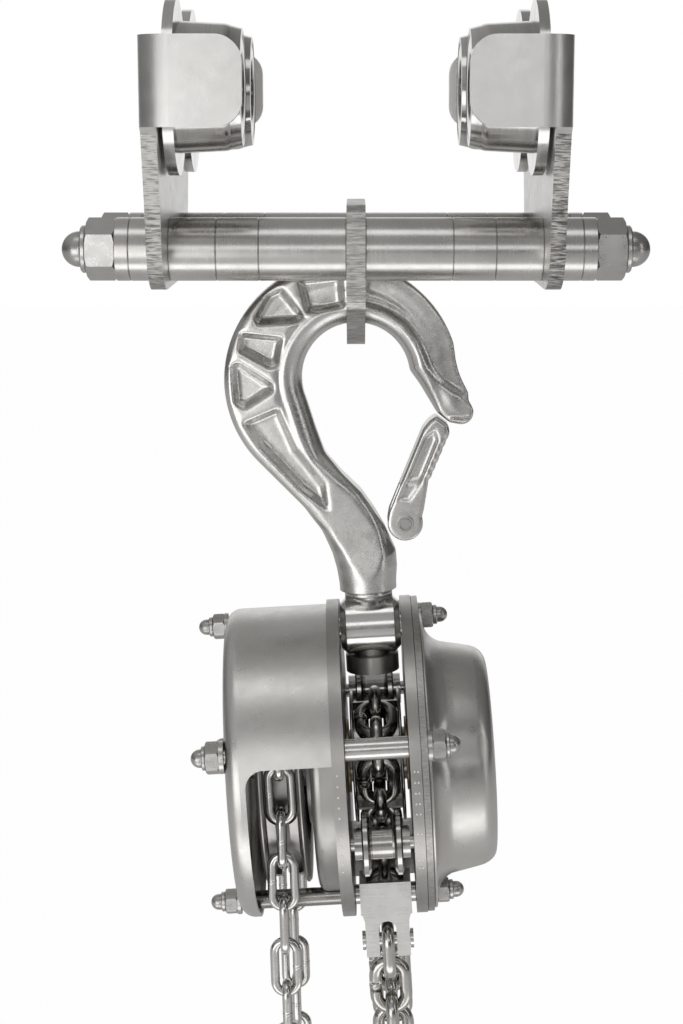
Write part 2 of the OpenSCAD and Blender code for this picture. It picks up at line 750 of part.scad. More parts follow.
module hand_chain() color(steel) hoist() translate([hand_x, 0, 0]) {
    fall = hand_pairs * 2 * hand_pitch;
    for (i = [0:4]) hand_link([hand_rf * cos(45 * i), hand_rf * sin(45 * i)], 45 * i, false);
    for (i = [0:3]) hand_link([hand_rs * cos(22.5 + 45 * i), hand_rs * sin(22.5 + 45 * i)], 22.5 + 45 * i, true);
    rotate([0, hand_back, 0]) {
        for (s = [-1, 1]) {
            for (i = [0:hand_pairs - 1]) hand_link([s * hand_rf, -hand_pitch - 2 * i * hand_pitch], 0, true);
            for (i = [1:hand_pairs - 1]) hand_link([s * hand_rf, -2 * i * hand_pitch], 0, false);
        }
        translate([0, 0, -fall]) {
            for (i = [0:4]) hand_link([hand_rf * cos(-45 * i), hand_rf * sin(-45 * i)], -45 * i, false);
            for (i = [0:3]) hand_link([hand_rs * cos(-22.5 - 45 * i), hand_rs * sin(-22.5 - 45 * i)], -22.5 - 45 * i, true);
        }
    }
}

// Wheels and gears

// pocket for a flat link, cut outward from floor radius r
module link_pocket(r, half_w, half_l) {
    for (s = [-1, 1]) translate([0, r, s * (half_l - half_w)]) rotate([-90, 0, 0]) cylinder(h = 40, r = half_w);
    translate([-half_w, r, -(half_l - half_w)]) cube([2 * half_w, 40, 2 * (half_l - half_w)]);
}

module load_sheave() color(dark) hoist() {
    half_w = load_w / 2 + 0.35;
    half_l = (load_pitch + link_play) / 2 + load_wire + 0.35;
    difference() {
        union() {
            bar(26, -12.65, 12.65);
            slab(-12.65, 12.65) {
                for (i = [0:3]) rotate(load_phase + 45 + 90 * i) {
                    polygon([[10, -3], [20, -4.5], [26, -3.5], [30.4, -2], [31.4, 0], [30.4, 2], [26, 3.5], [20, 4.5], [10, 3]]);
                }
            }
            for (m = [0, 1]) mirror([m, 0, 0]) ring(38, 5, 12.6, 14.5, 0.8);
            bar(journal_r, left_x, -14);
            bar(journal_r, 14, 29.5);
            bar(12, 29, 42);
        }
        turned() difference() {
            translate([13.9, -4.2]) square([40, 8.4]);
        }
        for (i = [0:3]) rotate([load_phase + 90 * i, 0, 0]) link_pocket(load_rf - load_wire / 2 - 0.15, half_w, half_l);
        bar(shaft_r + run, -60, 60);
    }
}

// involute outline: flank points from the root to the tip and back for each tooth
function inv(a) = tan(a) * 180 / PI - a;
function gear_pts(z, m) = let (rp = m * z / 2, rb = rp * cos(25), ra = rp + 0.9 * m, rf = rp - 1.248 * m, r0 = max(rb, rf),
    hp = 90 / z - 0.05 / rp * 180 / PI, n = 3)
    [for (i = [0:z - 1]) each concat(
        rf < rb ? [[rf, 360 * i / z - hp - inv(25)]] : [],
        [for (k = [0:n]) let (r = r0 + (ra - r0) * k / n) [r, 360 * i / z - (hp + inv(25) - inv(acos(min(1, rb / r))))]],
        [for (k = [n:-1:0]) let (r = r0 + (ra - r0) * k / n) [r, 360 * i / z + (hp + inv(25) - inv(acos(min(1, rb / r))))]],
        rf < rb ? [[rf, 360 * i / z + hp + inv(25)]] : [])];

module toothed(z, x0, x1, turn) {
    slab(x0, x1) rotate(turn) polygon([for (p = gear_pts(z, gear_m)) [p[0] * cos(p[1]), p[0] * sin(p[1])]]);
}

module load_gear() color(dark) hoist() {
    difference() {
        toothed(gear_z, 30, 42, 0);
        bar(12 + fix, 20, 50);
    }
}

module idler_gear(s) {
    translate([0, s * gear_c, 0]) {
        toothed(pinion_z, 30, 42, 18);
        toothed(gear_z, 44, 52, 180 / gear_z);
        bar(4.4, gear_plate_x0 + 0.2, 31);
        bar(4.6, 41, 45);
        bar(4.4, 51, 59);
    }
}
module idler_gear_front() color(dark) hoist() idler_gear(-1);
module idler_gear_rear() color(dark) hoist() idler_gear(1);

module drive_shaft() color(bright) hoist() {
    bar(thread_r, -78, left_x);
    bar(shaft_r, left_x - 0.1, 43.4);
    toothed(pinion_z, 43, 52, 0);
    bar(4.4, 51, 59);
}

module hand_wheel() color(steel) hoist() translate([hand_x, 0, 0]) {
    half_w = hand_w / 2 + 0.4;
    half_l = (hand_pitch + link_play) / 2 + hand_wire + 0.4;
    difference() {
        union() {
            bar(16, -12.5, 17.3);
            bar(37, 13.5, 17.3);
            bar(52, -3, 3);
            ring(66, 49, -9.5, 9.5, 1);
            for (m = [0, 1]) mirror([m, 0, 0]) ring(70, 49, 9.4, 12.5, 1.2);
        }
        turned() translate([54, -(hand_wire / 2 + 1.3)]) square([30, hand_wire + 2.6]);
        for (i = [0:7]) rotate([45 * i, 0, 0]) link_pocket(hand_rf - hand_wire / 2 - 0.2, half_w, half_l);
        for (i = [0:5]) rotate([60 * i, 0, 0]) translate([0, 33, 0]) bar(8, -4, 4);
        bar(thread_r + fix, -20, 40);
    }
}

module brake_hub() color(steel) hoist() {
    difference() {
        union() {
            bar(37, -28.6, -25);
            bar(14, -36.65, -28);
        }
        bar(thread_r + fix, -40, -20);
    }
}

module brake_linings() color([0.35, 0.3, 0.26]) hoist() {
    ring(37, 14 + fix, -30.6, -28.65, 0.2);
    ring(37, 14 + fix, -36.6, -34.7, 0.2);
}

module ratchet_wheel() color(dark) hoist() {
    difference() {
        slab(-34.62, -30.68) {
            difference() {
                polygon([for (i = [0:13]) for (k = [0:1]) let (a = 360 / 14 * (i + k * 0.12)) (k == 0 ? 38.5 : 44) * [cos(a), sin(a)]]);
                circle(r = 14 + run + 0.03);
            }
        }
    }
}

module castle_nut() color(bright) hoist() {
    difference() {
        slab(-75, -66.8) hexagon(19);
        bar(thread_r + fix, -90, -60);
        for (a = [0, 60, 120]) rotate([a, 0, 0]) translate([-76, -20, -1.3]) cube([3.5, 40, 2.6]);
    }
}

// pawl on its pin, its nose behind a ratchet tooth
module pawl() color(dark) hoist() {
    difference() {
        slab(-34.4, -30.8) {
            translate(pawl_p) circle(r = 8);
            polygon([[-8.7, 38.4], [12.5, 50.5], [18, 60], [9, 64], [-11.6, 42.4]]);
        }
        translate([0, pawl_p[0], pawl_p[1]]) bar(pin_r + run, -40, -20);
    }
}

module pawl_pin() color(bright) hoist() translate([0, pawl_p[0], pawl_p[1]]) bar(pin_r, -34.9, left_x + 4);

module pawl_spring() color(dark) hoist() translate([0, pawl_p[0], pawl_p[1]]) {
    for (k = [0:2]) translate([-26.3 - k * 1.36, 0, 0]) turned() translate([5.4, 0]) circle(r = 0.7, $fn = 20);
    translate([-26.3, 5.4, 0]) cylinder(h = 9, r = 0.7, $fn = 20);
}

// Block of the bottom hook

module hook_block() color(steel) hoist() translate([0, load_y, 0]) {
    difference() {
        intersection() {
            translate([-18, -13, block_bottom]) cube([36, 26, block_top - block_bottom]);
            translate([0, 0, block_bottom]) cylinder(h = 80, r = 19);
        }
        translate([-load_w / 2 - 0.5, -load_wire / 2 - 0.5, low_link_z - 18.4]) cube([load_w + 1, load_wire + 1, 60]);
        translate([0, 0, low_pin_z]) rotate([90, 0, 0]) cylinder(h = 60, r = pin_r + fix, center = true);
        translate([-11, -30, block_bottom + low_floor]) cube([22, 60, 12]);
        translate([0, 0, block_bottom - 1]) cylinder(h = 30, r = stem_r * low_scale + run);
    }
}

module block_pin() color(bright) hoist() translate([0, load_y, low_pin_z]) rotate([90, 0, 0]) cylinder(h = 25.6, r = pin_r, center = true);

side_plate_left();
side_plate_right();
tie_rods();
tie_rod_nuts();
spacer_sleeves();
suspension_plate();
wheel_axles();
wheel_front_left();
wheel_front_right();
wheel_rear_left();
wheel_rear_right();
top_hook();
hook_nut();
top_latch_pin();
top_latch_spring();
top_latch();
crosshead();
frame_plate_left();
frame_plate_right();
gear_plate();
stay_studs();
gap_tubes();
cover_tubes();
lock_nuts_left();
lock_nuts_right();
sheave_bushes();
handwheel_cover();
brake_pan();
gear_cover();
chain_stripper();
anchor_bracket();
anchor_pin();
guide_pins();
guide_roller_front();
guide_roller_rear();
load_sheave();
load_gear();
idler_gear_front();
idler_gear_rear();
drive_shaft();
hand_wheel();
brake_hub();
brake_linings();
ratchet_wheel();
castle_nut();
pawl();
pawl_pin();
pawl_spring();
load_chain();
hand_chain();
hook_block();
block_pin();
bottom_hook();
bottom_hook_nut();
bottom_latch_pin();
bottom_latch_spring();
bottom_latch();
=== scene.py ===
import bpy, bmesh, math
import numpy as np
from mathutils import Matrix, Vector


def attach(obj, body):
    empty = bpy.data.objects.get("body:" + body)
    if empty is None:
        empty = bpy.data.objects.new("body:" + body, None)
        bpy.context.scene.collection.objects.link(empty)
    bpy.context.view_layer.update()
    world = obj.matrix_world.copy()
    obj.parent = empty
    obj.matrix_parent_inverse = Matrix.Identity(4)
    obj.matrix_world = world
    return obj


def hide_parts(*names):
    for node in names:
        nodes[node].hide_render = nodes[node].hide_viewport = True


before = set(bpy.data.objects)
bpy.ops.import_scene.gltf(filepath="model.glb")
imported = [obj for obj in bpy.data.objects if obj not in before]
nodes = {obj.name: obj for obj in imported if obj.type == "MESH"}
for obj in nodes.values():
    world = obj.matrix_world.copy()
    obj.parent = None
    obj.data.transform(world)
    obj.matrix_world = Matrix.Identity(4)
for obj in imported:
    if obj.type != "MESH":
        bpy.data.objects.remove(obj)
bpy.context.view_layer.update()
scene = bpy.context.scene
scene.view_settings.view_transform = "Standard"
rad = math.radians

# ---- camera at the photograph's angle
SENSOR_MM = 36
LENS_MM = 71.44
SHIFT = -14.5 / 1024  # pixels off the middle, over the picture's height
CAMERA_AT = (0, -1.124, 0.0105)
CAMERA_DOWN = 10.6
cam_data = bpy.data.cameras.new("camera")
cam_data.sensor_fit = "VERTICAL"
cam_data.sensor_height = SENSOR_MM
cam_data.lens = LENS_MM
cam_data.shift_x = SHIFT
cam = bpy.data.objects.new("camera", cam_data)
cam.location = CAMERA_AT
cam.rotation_euler = (rad(90 - CAMERA_DOWN), 0, 0)
scene.collection.objects.link(cam)
scene.camera = cam


# ---- node helpers
def new_mat(name):
    m = bpy.data.materials.new(name)
    m.use_nodes = True
    nt = m.node_tree
    nt.nodes.clear()
    out = nt.nodes.new("ShaderNodeOutputMaterial")
    sh = nt.nodes.new("ShaderNodeBsdfPrincipled")
    nt.links.new(sh.outputs[0], out.inputs[0])
    return m, nt, sh


def mapped(nt, scale, rot=(0, 0, 0)):
    """The object's own coordinates, scaled and turned."""
    tc = nt.nodes.new("ShaderNodeTexCoord")
    mp = nt.nodes.new("ShaderNodeMapping")
    mp.inputs["Scale"].default_value = scale
    mp.inputs["Rotation"].default_value = rot
    nt.links.new(tc.outputs["Object"], mp.inputs["Vector"])
    return mp.outputs[0]


def noise_tex(nt, vec, scale, detail=3, rough=0.5):
    n = nt.nodes.new("ShaderNodeTexNoise")
    n.inputs["Scale"].default_value = scale
    n.inputs["Detail"].default_value = detail
    n.inputs["Roughness"].default_value = rough
    nt.links.new(vec, n.inputs["Vector"])
    return n.outputs["Fac"]


def ramp(nt, fac, lo, hi, a, b):
    """lo where fac is a, hi where it is b, in a straight line between and held beyond."""
    r = nt.nodes.new("ShaderNodeMapRange")
    r.inputs["From Min"].default_value = a
    r.inputs["From Max"].default_value = b
    r.inputs["To Min"].default_value = lo
    r.inputs["To Max"].default_value = hi
    nt.links.new(fac, r.inputs["Value"])
    return r.outputs["Result"]


def math_node(nt, op, a, b):
    n = nt.nodes.new("ShaderNodeMath")
    n.operation = op
    for i, v in enumerate((a, b)):
        if isinstance(v, (int, float)):
            n.inputs[i].default_value = v
        else:
            nt.links.new(v, n.inputs[i])
    return n.outputs[0]


def colour_mix(nt, fac, a, b):
    n = nt.nodes.new("ShaderNodeMix")
    n.data_type = "RGBA"
    n.inputs["A"].default_value = (*a, 1)
    n.inputs["B"].default_value = (*b, 1)
    nt.links.new(fac, n.inputs["Factor"])
    return n.outputs["Result"]


# noise scales, in periods to the metre
CLOUDS, SPOTS, BLAST, BRUSH, SCRATCH, CUT = 26, 140, 1700, 2600, 900, 1300
BUMP_STRENGTH, BUMP_DEPTH = 0.5, 0.00035


def metal(name, col, dark, rough, spread=0.08, grain=0.0, grain_axis=None, blast=0.0,
          wear=0.25, scratches=0.0, lines=0.0, period=1.2):
    """Stainless steel: cloudy tone, edge wear, and a blasted, brushed, cut or polished surface.

    The base colour lies between dark and col, the roughness within spread of rough. grain, blast,
    scratches and lines are the strengths of those marks, and period spaces the lines.
    """
    m, nt, sh = new_mat(name)
    sh.inputs["Metallic"].default_value = 1.0
    vec = mapped(nt, (1, 1, 1))
    cloud = noise_tex(nt, vec, CLOUDS, 4, 0.6)
    fac = ramp(nt, cloud, 0, 1, 0.3, 0.7)
    geo = nt.nodes.new("ShaderNodeNewGeometry")
    edge = ramp(nt, geo.outputs["Pointiness"], 0, 1, 0.47, 0.56)
    fac = math_node(nt, "ADD", math_node(nt, "MULTIPLY", fac, 1 - wear),
                    math_node(nt, "MULTIPLY", edge, wear))
    spots = noise_tex(nt, vec, SPOTS, 5, 0.65)
    tone = ramp(nt, spots, rough - spread, rough + spread, 0.3, 0.7)
    heights = []
    if blast:
        heights.append(math_node(nt, "MULTIPLY", noise_tex(nt, vec, BLAST, 2, 0.6), blast))
    if grain:
        stretch = [1.0 if i == grain_axis else 0.02 for i in range(3)]
        g = noise_tex(nt, mapped(nt, stretch), BRUSH, 2, 0.6)
        tone = math_node(nt, "ADD", tone, ramp(nt, g, -0.1 * grain, 0.1 * grain, 0.3, 0.7))
        fac = math_node(nt, "ADD", fac, ramp(nt, g, -0.35 * grain, 0.35 * grain, 0.3, 0.7))
    if scratches:
        g = noise_tex(nt, mapped(nt, (1, 1, 0.08), (0.4, 0.9, 0.3)), SCRATCH, 3, 0.6)
        scratch = ramp(nt, g, -0.08 * scratches, 0.08 * scratches, 0.35, 0.65)
        tone = math_node(nt, "ADD", tone, scratch)
    if lines:
        # ripples left by the cut, across the plate
        g = noise_tex(nt, mapped(nt, (0.14, 1, 1)), CUT / period, 3, 0.6)
        heights.append(math_node(nt, "MULTIPLY", g, lines))
        fac = math_node(nt, "ADD", fac, ramp(nt, g, -0.55, 0.45, 0.4, 0.6))
    nt.links.new(colour_mix(nt, fac, dark, col), sh.inputs["Base Color"])
    nt.links.new(tone, sh.inputs["Roughness"])
    if heights:
        height = heights[0]
        for h in heights[1:]:
            height = math_node(nt, "ADD", height, h)
        bump = nt.nodes.new("ShaderNodeBump")
        bump.inputs["Strength"].default_value = BUMP_STRENGTH
        bump.inputs["Distance"].default_value = BUMP_DEPTH
        nt.links.new(height, bump.inputs["Height"])
        nt.links.new(bump.outputs[0], sh.inputs["Normal"])
    return m


# key: name, brightest and darkest base colour, roughness and its spread, marks
M = {
    "satin": metal("satin_steel", (0.66, 0.65, 0.625), (0.54, 0.53, 0.505),
                   0.31, 0.05, blast=0.4, wear=0.2),
    "bright": metal("blasted_steel", (0.76, 0.75, 0.73), (0.66, 0.65, 0.63),
                    0.34, 0.05, blast=0.45, wear=0.2),
    "hook": metal("forged_steel", (0.74, 0.73, 0.705), (0.56, 0.55, 0.53),
                  0.27, 0.05, blast=0.25, wear=0.25),
    "cut": metal("laser_cut_edge", (0.52, 0.51, 0.485), (0.12, 0.115, 0.11),
                 0.36, 0.06, lines=3.5, wear=0.3),
    "flank": metal("suspension_steel", (0.56, 0.55, 0.525), (0.3, 0.29, 0.275),
                   0.34, 0.05, lines=1.2, wear=0.3),
    "plate": metal("frame_plate", (0.46, 0.45, 0.43), (0.32, 0.31, 0.3),
                   0.34, 0.06, blast=0.3, wear=0.4),
    "ribbed": metal("gear_plate_edge", (0.45, 0.44, 0.42), (0.3, 0.29, 0.28),
                    0.36, 0.05, lines=0.5, period=0.6, wear=0.3),
    "brushed": metal("brushed_steel", (0.62, 0.61, 0.585), (0.46, 0.45, 0.43),
                     0.25, 0.03, grain=0.22, grain_axis=0),
    "bracket": metal("ground_steel", (0.72, 0.71, 0.69), (0.58, 0.57, 0.55),
                     0.3, 0.04, grain=0.4, grain_axis=2),
    "turned": metal("turned_steel", (0.68, 0.67, 0.65), (0.5, 0.49, 0.47),
                    0.22, 0.05, grain=0.3, grain_axis=0),
    "polished": metal("polished_steel", (0.7, 0.69, 0.67), (0.56, 0.55, 0.53),
                      0.17, 0.04, scratches=0.3),
    "chain": metal("chain_steel", (0.62, 0.605, 0.575), (0.36, 0.35, 0.33),
                   0.2, 0.06, scratches=0.5, wear=0.5),
    "hand": metal("hand_chain_steel", (0.7, 0.69, 0.665), (0.48, 0.47, 0.45),
                  0.2, 0.05, scratches=0.4, wear=0.45),
    "dark": metal("dark_steel", (0.4, 0.39, 0.37), (0.22, 0.215, 0.205),
                  0.22, 0.06, scratches=0.4, wear=0.5),
    "roller": metal("roller_steel", (0.64, 0.63, 0.605), (0.42, 0.41, 0.39),
                    0.18, 0.05, grain=0.3, grain_axis=0),
    "nut": metal("nut_steel", (0.6, 0.59, 0.57), (0.36, 0.35, 0.335),
                 0.3, 0.08, blast=0.3, wear=0.6),
    "wheel": metal("wheel_steel", (0.62, 0.61, 0.59), (0.36, 0.35, 0.335),
                   0.15, 0.05, grain=0.3, grain_axis=0, wear=0.5),
    "bronze": metal("bearing_bronze", (0.42, 0.33, 0.21), (0.28, 0.22, 0.14),
                    0.34, 0.06, grain=0.4, grain_axis=0),
}


def lining():
    """Dark, speckled friction lining."""
    m, nt, sh = new_mat("friction_lining")
    speck = ramp(nt, noise_tex(nt, mapped(nt, (1, 1, 1)), 900, 4, 0.8), 0, 1, 0.35, 0.65)
    nt.links.new(colour_mix(nt, speck, (0.06, 0.05, 0.045), (0.2, 0.16, 0.13)),
                 sh.inputs["Base Color"])
    sh.inputs["Roughness"].default_value = 0.85
    return m


M["lining"] = lining()

# which material each node of the part has; the wheels have their own, the rest is satin
USE = {
    "bright": "side_plate_left side_plate_right",
    "turned": "tie_rods stay_studs gap_tubes anchor_pin guide_pins drive_shaft castle_nut "
              "pawl_pin block_pin",
    "nut": "tie_rod_nuts lock_nuts_left lock_nuts_right",
    "brushed": "spacer_sleeves",
    "flank": "suspension_plate",
    "dark": "wheel_axles top_latch_spring cover_tubes chain_stripper load_sheave load_gear "
            "idler_gear_front idler_gear_rear ratchet_wheel pawl pawl_spring "
            "bottom_hook_nut bottom_latch_spring",
    "hook": "top_hook top_latch bottom_hook bottom_latch",
    "plate": "hook_nut frame_plate_left frame_plate_right brake_pan hand_wheel brake_hub",
    "polished": "top_latch_pin crosshead bottom_latch_pin",
    "ribbed": "gear_plate",
    "bronze": "sheave_bushes",
    "satin": "handwheel_cover gear_cover hook_block",
    "bracket": "anchor_bracket",
    "roller": "guide_roller_front guide_roller_rear",
    "lining": "brake_linings",
    "chain": "load_chain",
    "hand": "hand_chain",
}
FINISH = {node: key for key, names in USE.items() for node in names.split()}
for n, ob in nodes.items():
    key = FINISH.get(n, "wheel" if n.startswith("wheel_") else "satin")
    ob.data.materials.clear()
    ob.data.materials.append(M[key])

# the trolley plates' edges below the guards are laser cut
for n in ("side_plate_left", "side_plate_right"):
    me = nodes[n].data
    me.materials.append(M["cut"])
    for p in me.polygons:
        if abs(p.normal.x) < 0.3 and abs(p.normal.y) > 0.2 and p.center.z < 0:
            p.material_index = 1

# ---- sizes shared with the part, in millimetres
MM = 0.001
LEAN = rad(3.3)
BOWL = Vector((0, 0, -123))
HOIST_Z = -342
FRAME_R = 90.5
STAY_R = 78.5
LOW_SCALE = 0.6
HUNG = Matrix.Translation(BOWL) @ Matrix.Rotation(-LEAN, 4, "Y") @ Matrix.Translation(-BOWL)
HOIST = HUNG @ Matrix.Translation((0, 0, HOIST_Z))
SCALE = Matrix.Scale(MM, 4)


def arc(cx, cz, r, a0, a1, n=24):
    """Points on a circle, from a0 to a1 degrees."""
    turns = [rad(a0 + (a1 - a0) * i / n) for i in range(n + 1)]
    return [(cx + r * math.cos(t), cz + r * math.sin(t)) for t in turns]


def link_object(name, mesh, mat):
    """A smooth-shaded object of the mesh, in the scene."""
    ob = bpy.data.objects.new(name, mesh)
    scene.collection.objects.link(ob)
    mesh.materials.append(mat)
    for p in mesh.polygons:
        p.use_smooth = True
    return ob


def finished(bm, name):
    """The bmesh as a mesh, with the bmesh freed."""
    mesh = bpy.data.meshes.new(name)
    bm.to_mesh(mesh)
    bm.free()
    return mesh


def place(mesh, matrix):
    """From millimetres about the matrix's own origin to the frame's metres."""
    mesh.transform(SCALE @ matrix)
    mesh.update()


def apply_mods(ob):
    dg = bpy.context.evaluated_depsgraph_get()
    me = bpy.data.meshes.new_from_object(ob.evaluated_get(dg))
    old = ob.data
    ob.modifiers.clear()
    ob.data = me
    bpy.data.meshes.remove(old)


def remesh(ob, size, smooth=0):
    """Voxel remesh, then that many rounds of smoothing."""
    r = ob.modifiers.new("r", "REMESH")
    r.mode = "VOXEL"
    r.voxel_size = size
    if smooth:
        s = ob.modifiers.new("s", "SMOOTH")
        s.iterations = smooth
        s.factor = 0.5
    apply_mods(ob)


def prism(bm, pts, y0, y1):
    """A closed solid over an outline in X and Z, from y0 to y1."""
    a = [bm.verts.new((x, y0, z)) for x, z in pts]
    b = [bm.verts.new((x, y1, z)) for x, z in pts]
    n = len(pts)
    for i in range(n):
        bm.faces.new((a[i], a[(i + 1) % n], b[(i + 1) % n], b[i]))
    fa = bm.faces.new(a[::-1])
    fb = bm.faces.new(b)
    bmesh.ops.triangulate(bm, faces=[fa, fb])


def rod(bm, r, z0, z1, seg=48):
    m = Matrix.Translation((0, 0, (z0 + z1) / 2))
    bmesh.ops.create_cone(bm, cap_ends=True, segments=seg, radius1=r, radius2=r, depth=z1 - z0,
                          matrix=m)


def edge_distance(px, pz, poly):
    """Distance to a closed outline, whether inside it, and the nearest side's inward normal."""
    best = np.full(px.shape, 1e9)
    inside = np.zeros(px.shape, bool)
    nx, nz = np.zeros(px.shape), np.zeros(px.shape)
    ahead = list(poly[1:]) + [poly[0]]
    area2 = sum(a[0] * b[1] - b[0] * a[1] for a, b in zip(poly, ahead))
    turn = 1 if area2 > 0 else -1
    n = len(poly)
    for i in range(n):
        x0, z0 = poly[i]
        x1, z1 = poly[(i + 1) % n]
        dx, dz = x1 - x0, z1 - z0
        L = dx * dx + dz * dz
        if L < 1e-9:
            continue
        t = np.clip(((px - x0) * dx + (pz - z0) * dz) / L, 0, 1)
        ex, ez = px - x0 - t * dx, pz - z0 - t * dz
        d2 = ex * ex + ez * ez
        closer = d2 < best
        best = np.where(closer, d2, best)
        q = math.sqrt(L)
        nx = np.where(closer, -dz / q * turn, nx)
        nz = np.where(closer, dx / q * turn, nz)
        rise = dz if abs(dz) > 1e-12 else 1e-12
        inside ^= ((z0 > pz) != (z1 > pz)) & (px < dx * (pz - z0) / rise + x0)
    return np.sqrt(best), inside, nx, nz


def rounded(d, y, r, top):
    """Moves a slab's points onto a rounded edge: new distance from the edge, new half thickness."""
    a, b = d - r, np.abs(y) - (top - r)
    length = np.maximum(np.hypot(a, b), 1e-9)
    corner = (a < 0) & (b > 0) & (length > r)
    k = np.where(corner, r / length, 1)
    return np.where(corner, r + a * k, d), np.where(corner, top - r + b * k, np.abs(y))


def depth_inside(px, pz, poly):
    """Distance to the outline, negative outside it."""
    d, inside, _, _ = edge_distance(px, pz, poly)
    return np.where(inside, d, -d)


def smoothstep(x):
    x = np.clip(x, 0, 1)
    return x * x * (3 - 2 * x)


# ---- forged hook
# outline in X and Z: shank, back, nose, bowl and shank again
HOOK_LINE = ([(-16, -262), (-16, -240), (-17, -231), (-19, -222), (-24, -208), (-33, -194)]
             + arc(-8, -124, 65, 222, 15, 60)
             + [(55.2, -112), (55.6, -117), (56.8, -123), (58.8, -129), (61.6, -135)]
             + arc(57.2, -145.6, 6.8, 50, -100, 14)
             + [(50.4, -151), (43.7, -145.4), (35, -129)]
             + arc(0, -123, 30, 3.7, 201, 48)
             + [(-24.2, -149), (-19.7, -164), (-10.9, -176), (-0.9, -187), (5.3, -197),
                (10.9, -207.5), (14.4, -216), (16.8, -222), (17, -231), (16, -240), (16, -262)])
# recesses in both faces: depth and outline
POCKETS = [
    (5.2, [(-29, -67), (-4, -65.5), (-4, -84), (-25, -86)]),
    (5.2, [(-46, -73.5), (-38, -70.5), (-25.5, -87.5), (-30, -90.5), (-52, -90.5), (-54, -86)]),
    (5.2, [(-62.5, -94), (-38.5, -98), (-42.5, -114), (-47, -114.5), (-63.5, -104)]),
    (5.2, [(-68.5, -111), (-63.5, -110.5), (-45.5, -123.5), (-46, -127.5), (-62, -136.5),
           (-68, -133)]),
    (4.2, [(-43.5, -136.5), (-64, -144), (-55.5, -158), (-34, -184), (-19.5, -196),
           (-20.5, -181), (-35, -160)]),
    (2.2, [(0, -50), (30, -52), (64, -80), (72, -130), (64, -142), (55, -135), (46.5, -129.5),
           (39.5, -120), (34.5, -106), (28, -95.5), (18, -88), (8, -84), (0, -83)]),
]
HOOK_HALF = 16.4
LATCH_HOLE = (22.8, -206.2)
LATCH_HALF = 9.4
CHEEK_IN = 7


def voxel_object(bm, name, size):
    """A remeshed object of the bmesh, and its points as an array to be moved."""
    ob = bpy.data.objects.new(name, finished(bm, name))
    scene.collection.objects.link(ob)
    remesh(ob, size)
    co = np.empty(len(ob.data.vertices) * 3)
    ob.data.vertices.foreach_get("co", co)
    return ob, co.reshape(-1, 3)


def moved(ob, co):
    """Writes the array's points back to the object's mesh."""
    ob.data.vertices.foreach_set("co", co.ravel())
    ob.data.update()


def taken(ob):
    """The object's mesh, with the object itself removed."""
    me = ob.data
    bpy.data.objects.remove(ob)
    return me


def forged_hook():
    """The hook's forging, from its outline: rounded edges, recesses, round neck and shank."""
    bm = bmesh.new()
    prism(bm, HOOK_LINE, -HOOK_HALF, HOOK_HALF)
    ob, co = voxel_object(bm, "hook", 1.1)
    x, y, z = co[:, 0], co[:, 1], co[:, 2]
    d, inside, nx, nz = edge_distance(x, z, HOOK_LINE)
    d = np.where(inside, d, 0)
    # rounded edges: a full radius in the bowl, a smaller one outside, a round neck below
    inner = smoothstep((62 - np.hypot(x, z + 123)) / 22)
    neck = smoothstep((-197 - z) / 26)
    r = (5.5 + 6.0 * inner) * (1 - neck) + 15.4 * neck
    top = 12.4 * (1 - neck) + 16 * neck
    flat = 12.4 + 4.2 * smoothstep((-206 - z) / 40)
    for depth, poly in POCKETS:
        flat = flat - depth * smoothstep((depth_inside(x, z, poly) + 1.0) / 4.6)
    # the nose's face slopes to its outer edge
    slope = smoothstep((x - 4) / 8) * smoothstep((26 - d) / 22) * (z > -150)
    flat = flat - 3.2 * slope * smoothstep((np.hypot(x + 8, z + 124) - 36) / 20)
    # valley between the rounded inner edge and the flat face
    flat = flat - 0.8 * np.exp(-((d - 12.5) / 1.7) ** 2) * inner * (1 - neck)
    new_d, h = rounded(d, np.minimum(np.abs(y), top), r, top)
    x += nx * (new_d - d)
    z += nz * (new_d - d)
    y[:] = np.sign(y) * np.minimum(h, np.maximum(flat, 3.0))
    moved(ob, co)
    remesh(ob, 0.9, 4)
    # the neck ends in a turned collar and shank
    bm = bmesh.new()
    bm.from_mesh(ob.data)
    cut = bmesh.ops.bisect_plane(bm, geom=bm.verts[:] + bm.edges[:] + bm.faces[:],
                                 plane_co=(0, 0, -243.6), plane_no=(0, 0, -1), clear_outer=True)
    rim = [e for e in cut["geom_cut"] if isinstance(e, bmesh.types.BMEdge)]
    bmesh.ops.holes_fill(bm, edges=rim)
    rod(bm, 13.4, -249, -243)
    rod(bm, 10, -291, -248, 40)
    # lug that holds the latch
    prism(bm, arc(*LATCH_HOLE, 7, 0, 345, 23), -2.5, 2.5)
    bm.to_mesh(ob.data)
    bm.free()
    return taken(ob)


